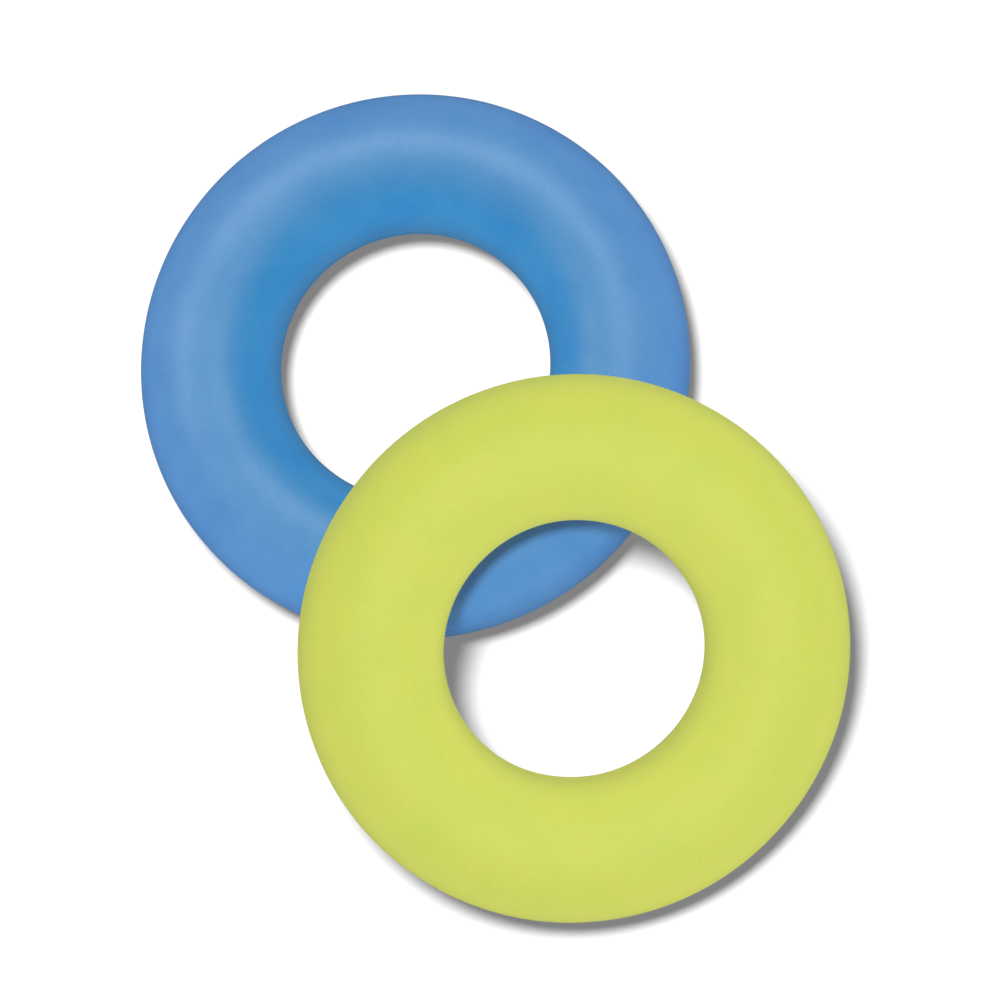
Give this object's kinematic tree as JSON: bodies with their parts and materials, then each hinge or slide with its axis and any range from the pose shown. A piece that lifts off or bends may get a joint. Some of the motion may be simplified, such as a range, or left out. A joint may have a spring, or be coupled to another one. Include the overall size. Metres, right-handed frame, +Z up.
{
  "type": "juggling ring",
  "caption": "Plump round-section juggling rings, each a foam core in a smooth coated skin with a round hole; the lime ring leans on the blue ring, which lies flat.",
  "frame": {"origin": "on the surface that the rings rest on, under the middle of the pair's box", "axes": "+Z up off the resting surface and along the blue ring's own axis; +Y towards the blue ring's side of the pair and along its longest side; +X to the right; the lime ring's centre lies 60.7 degrees clockwise of +X in plan from the blue ring's centre"},
  "size_m": [0.2346, 0.275, 0.0996],
  "materials": {
    "blue_skin": "soft satin coated skin with a fine leathery grain",
    "lime_skin": "soft matte to satin coated skin with a fine grain",
    "foam": "cream cellular polyurethane foam"
  },
  "bodies": {
    "blue_ring": {"blue_foam_core": "foam", "blue_skin_upper": "blue_skin", "blue_skin_lower": "blue_skin"},
    "lime_ring": {"lime_foam_core": "foam", "lime_skin_upper": "lime_skin", "lime_skin_lower": "lime_skin"}
  },
  "joints": [
    {"name": "lime_ring_lift", "type": "slide", "parent": "blue_ring", "child": "lime_ring", "axis": [0, 0, 1], "range_m": [0, 0.15]}
  ]
}
